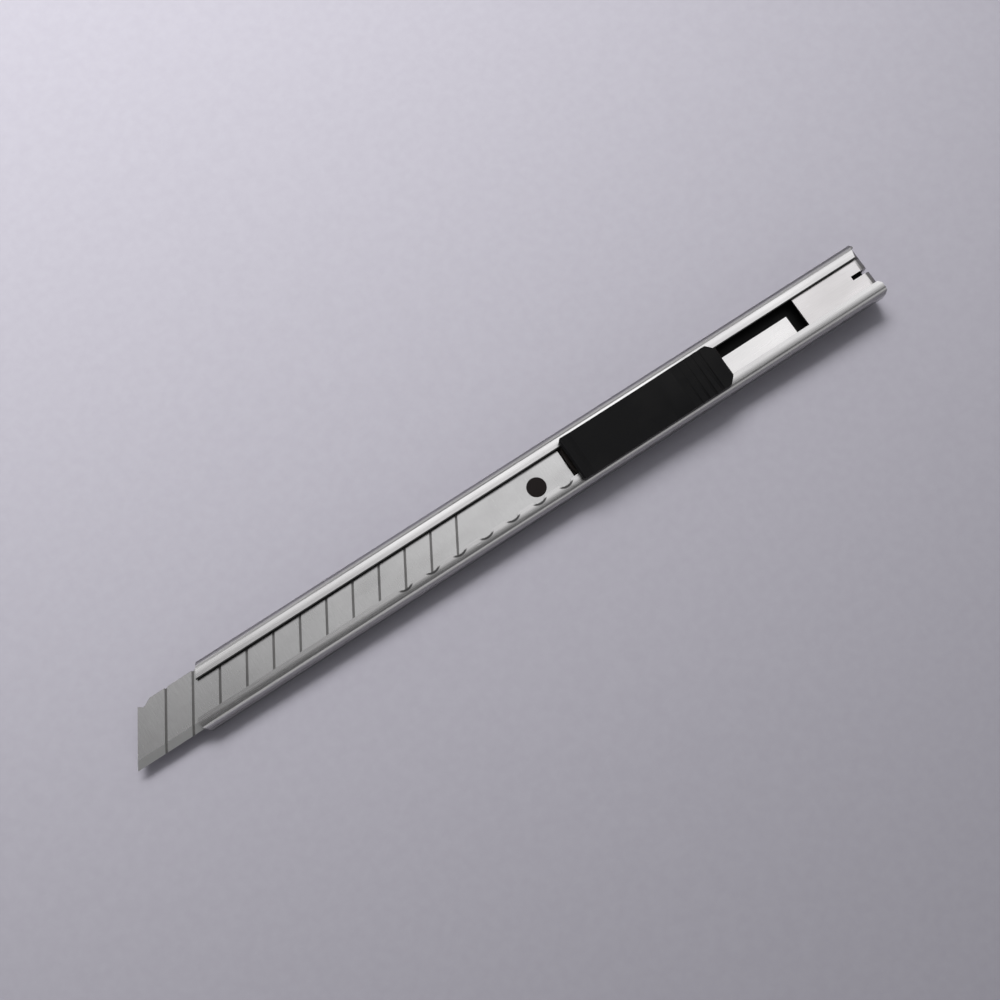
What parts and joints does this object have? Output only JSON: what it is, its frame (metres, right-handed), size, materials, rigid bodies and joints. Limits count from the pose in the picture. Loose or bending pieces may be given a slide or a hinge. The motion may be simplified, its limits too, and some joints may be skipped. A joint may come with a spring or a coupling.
{
  "type": "utility knife",
  "caption": "Slim snap-off utility knife: folded steel holder, scored blade on a locking carriage, black thumb slider and a pocket clip that closes the rear end.",
  "frame": {"origin": "middle of the overall length at rest and of the width, on the plane of the pocket arm's outer face, which is the lowest", "axes": "+X to the rear end, -X to the blade's tip, +Y to the blade's spine, +Z out of the slotted front with the thumb slider"},
  "size_m": [0.1466, 0.0106, 0.0075],
  "materials": {
    "holder_steel": "lengthways brushed stainless sheet",
    "clip_steel": "fine brushed stainless strip",
    "blade_steel": "satin ground blade steel with a bright ground edge",
    "spring_steel": "bright rolled spring strip",
    "block_plastic": "plain moulded black plastic",
    "stud_black": "blackened steel",
    "rivet_steel": "plain steel",
    "cap_plastic": "fine-textured moulded black plastic"
  },
  "bodies": {
    "holder": {"holder": "holder_steel"},
    "end_clip": {"end_clip": "clip_steel"},
    "carriage": {"runner_plate": "spring_steel", "slide_block": "block_plastic", "blade_stud": "stud_black", "blade": "blade_steel", "lock_spring": "spring_steel", "spring_rivets": "rivet_steel"},
    "thumb_slider": {"thumb_slider": "cap_plastic"}
  },
  "joints": [
    {"name": "carriage_slide", "type": "slide", "parent": "holder", "child": "carriage", "axis": [-1, 0, 0], "range_m": [-0.0156, 0.0468], "deforming": ["lock_spring"]},
    {"name": "thumb_play", "type": "slide", "parent": "carriage", "child": "thumb_slider", "axis": [-1, 0, 0], "range_m": [-0.0006, 0.0006], "stiffness_N_per_m": 1000, "deforming": ["lock_spring"]},
    {"name": "clip_pull", "type": "slide", "parent": "holder", "child": "end_clip", "axis": [1, 0, 0], "range_m": [0, 0.016]}
  ]
}
